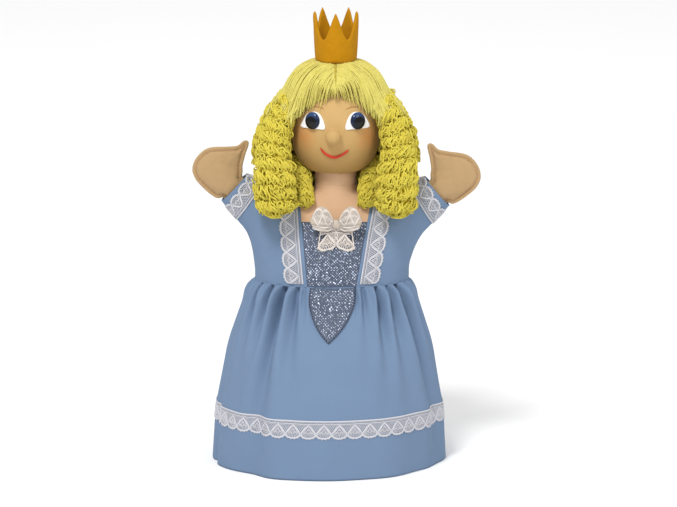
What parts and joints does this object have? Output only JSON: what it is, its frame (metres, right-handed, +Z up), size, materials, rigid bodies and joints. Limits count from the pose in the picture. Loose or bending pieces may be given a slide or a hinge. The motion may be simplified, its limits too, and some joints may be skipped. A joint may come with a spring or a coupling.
{
  "type": "glove puppet",
  "caption": "Princess glove puppet with yarn ringlets, a felt crown, felt mitts and a lace-trimmed blue dress, worked by a hand put up through the skirt.",
  "frame": {"origin": "on the floor under the middle of the puppet, which stands on the hem of its skirt", "axes": "+Z up from the hem to the crown, -Y is the way the puppet faces, +X is to the right as seen from the front. Names that start with left_ are on -X and names that start with right_ are on +X."},
  "size_m": [0.1841, 0.142, 0.291],
  "materials": {
    "blue_cotton": "matte, plain woven",
    "white_lace": "matte, open lace",
    "cream_lace": "matte, soft lace",
    "silver_glitter": "sparkling, metallic dots",
    "skin_jersey": "matte, fine knit",
    "skin_felt": "matte, felted",
    "pressed_core": "matte",
    "card": "matte",
    "yellow_yarn": "matte, wound yarn",
    "orange_felt": "matte, felted",
    "eye_felt": "matte",
    "eye_button": "high gloss",
    "red_thread": "matte"
  },
  "bodies": {
    "skirt": {"skirt_front": "blue_cotton", "skirt_back": "blue_cotton", "hem_lace": "white_lace", "hem_fold": "blue_cotton", "glitter_point": "silver_glitter"},
    "bodice": {"left_bodice_panel": "blue_cotton", "right_bodice_panel": "blue_cotton", "glitter_insert": "silver_glitter", "chest_panel": "skin_jersey", "bodice_back": "blue_cotton", "neck_yoke": "skin_jersey", "left_bodice_lace": "white_lace", "right_bodice_lace": "white_lace", "left_bow_loop": "cream_lace", "right_bow_loop": "cream_lace", "left_bow_tail": "cream_lace", "right_bow_tail": "cream_lace", "bow_knot": "cream_lace"},
    "neck": {"neck_cover": "skin_jersey"},
    "head": {"head_core": "pressed_core", "finger_tube": "card", "face_skin": "skin_jersey", "nose_ball": "skin_jersey", "mouth_thread": "red_thread", "left_eye_white": "eye_felt", "right_eye_white": "eye_felt", "left_pupil": "eye_button", "right_pupil": "eye_button", "hair_cap": "yellow_yarn", "fringe": "yellow_yarn", "crown": "orange_felt", "left_ringlet_1": "yellow_yarn", "left_ringlet_2": "yellow_yarn", "left_ringlet_3": "yellow_yarn", "left_ringlet_4": "yellow_yarn", "left_ringlet_5": "yellow_yarn", "left_ringlet_6": "yellow_yarn", "left_ringlet_7": "yellow_yarn", "right_ringlet_1": "yellow_yarn", "right_ringlet_2": "yellow_yarn", "right_ringlet_3": "yellow_yarn", "right_ringlet_4": "yellow_yarn", "right_ringlet_5": "yellow_yarn", "right_ringlet_6": "yellow_yarn", "right_ringlet_7": "yellow_yarn"},
    "left_arm": {"left_sleeve": "blue_cotton", "left_cuff_lace": "white_lace"},
    "left_hand": {"left_hand_front": "skin_felt", "left_hand_back": "skin_felt"},
    "right_arm": {"right_sleeve": "blue_cotton", "right_cuff_lace": "white_lace"},
    "right_hand": {"right_hand_front": "skin_felt", "right_hand_back": "skin_felt"}
  },
  "joints": [
    {"name": "waist_bend", "type": "hinge", "parent": "skirt", "child": "bodice", "pos_m": [-0.0026, 0, 0.1176], "axis": [1, 0, 0], "range_deg": [-15, 35], "deforming": ["skirt_front", "skirt_back", "glitter_point"]},
    {"name": "head_turn", "type": "hinge", "parent": "bodice", "child": "neck", "pos_m": [0, 0, 0.174], "axis": [0, 0, 1], "range_deg": [-30, 30], "deforming": ["left_ringlet_1", "left_ringlet_2", "left_ringlet_3", "left_ringlet_4", "left_ringlet_5", "left_ringlet_6", "left_ringlet_7", "right_ringlet_1", "right_ringlet_2", "right_ringlet_3", "right_ringlet_4", "right_ringlet_5", "right_ringlet_6", "right_ringlet_7"]},
    {"name": "head_nod", "type": "hinge", "parent": "neck", "child": "head", "pos_m": [0, 0, 0.178], "axis": [1, 0, 0], "range_deg": [-10, 25], "deforming": ["neck_cover"]},
    {"name": "left_arm_swing", "type": "hinge", "parent": "bodice", "child": "left_arm", "pos_m": [-0.039, 0, 0.1575], "axis": [0.5946, 0, 0.804], "range_deg": [-15, 45], "deforming": ["left_sleeve"]},
    {"name": "left_hand_bend", "type": "hinge", "parent": "left_arm", "child": "left_hand", "pos_m": [-0.0654, 0, 0.1759], "axis": [0.682, 0, 0.7314], "range_deg": [-20, 25]},
    {"name": "right_arm_swing", "type": "hinge", "parent": "bodice", "child": "right_arm", "pos_m": [0.039, 0, 0.1575], "axis": [0.5946, 0, -0.804], "range_deg": [-15, 45], "deforming": ["right_sleeve"]},
    {"name": "right_hand_bend", "type": "hinge", "parent": "right_arm", "child": "right_hand", "pos_m": [0.0654, 0, 0.1733], "axis": [0.6429, 0, -0.7659], "range_deg": [-20, 25]}
  ]
}
